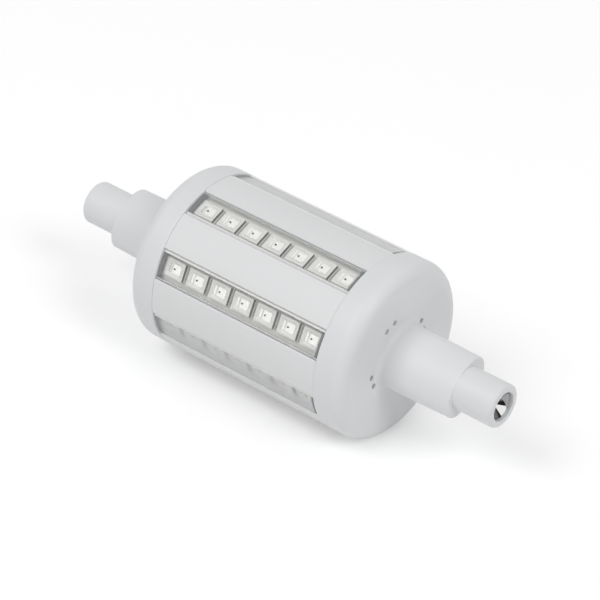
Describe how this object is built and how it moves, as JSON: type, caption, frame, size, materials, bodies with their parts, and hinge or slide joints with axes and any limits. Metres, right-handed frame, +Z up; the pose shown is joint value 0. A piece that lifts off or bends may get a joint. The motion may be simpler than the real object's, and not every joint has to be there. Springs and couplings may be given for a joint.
{
  "type": "double ended linear led lamp",
  "caption": "Double ended linear LED lamp: white caps with round contact noses, slotted white cage with clear windows over rows of light packages.",
  "frame": {"origin": "centre of the lamp, on its axis, half way between the two nose tips", "axes": "+X along the lamp axis towards the right nose, +Z up, square to a light bar of the cage"},
  "size_m": [0.078, 0.0282, 0.0282],
  "materials": {
    "cap_plastic": "satin white moulded plastic",
    "cage_plastic": "satin white moulded plastic",
    "clear_plastic": "clear, smooth and glossy",
    "light_board": "aluminium board with a white printed face",
    "light_body": "white reflective package with a clear filled cup",
    "carrier_metal": "plain extruded aluminium",
    "circuit_board": "white lacquered fibreglass",
    "contact_metal": "polished nickel plate",
    "wire_insulation": "silicone insulation",
    "capacitor_sleeve": "shrunk plastic sleeve",
    "film_resin": "dipped resin",
    "ferrite": "wound ferrite drum under a shrunk sleeve",
    "black_epoxy": "moulded epoxy",
    "resistor_ceramic": "matt lacquer over ceramic"
  },
  "bodies": {
    "root": {"board_carrier": "carrier_metal", "bridge_rectifier": "black_epoxy", "choke": "ferrite", "contact_left": "contact_metal", "contact_right": "contact_metal", "driver_board": "circuit_board", "driver_chip": "black_epoxy", "end_board_left": "circuit_board", "end_board_right": "circuit_board", "end_cap_left": "cap_plastic", "end_cap_right": "cap_plastic", "film_capacitor": "film_resin", "fuse_resistor": "resistor_ceramic", "lead_wire_left": "wire_insulation", "lead_wire_right": "wire_insulation", "light_board_1": "light_board", "light_board_2": "light_board", "light_board_3": "light_board", "light_board_4": "light_board", "light_board_5": "light_board", "light_board_6": "light_board", "light_board_7": "light_board", "light_board_8": "light_board", "light_row_1": "light_body", "light_row_2": "light_body", "light_row_3": "light_body", "light_row_4": "light_body", "light_row_5": "light_body", "light_row_6": "light_body", "light_row_7": "light_body", "light_row_8": "light_body", "smoothing_capacitor": "capacitor_sleeve", "window_cage": "cage_plastic", "window_strip_1": "clear_plastic", "window_strip_2": "clear_plastic", "window_strip_3": "clear_plastic", "window_strip_4": "clear_plastic", "window_strip_5": "clear_plastic", "window_strip_6": "clear_plastic", "window_strip_7": "clear_plastic", "window_strip_8": "clear_plastic"}
  },
  "joints": []
}
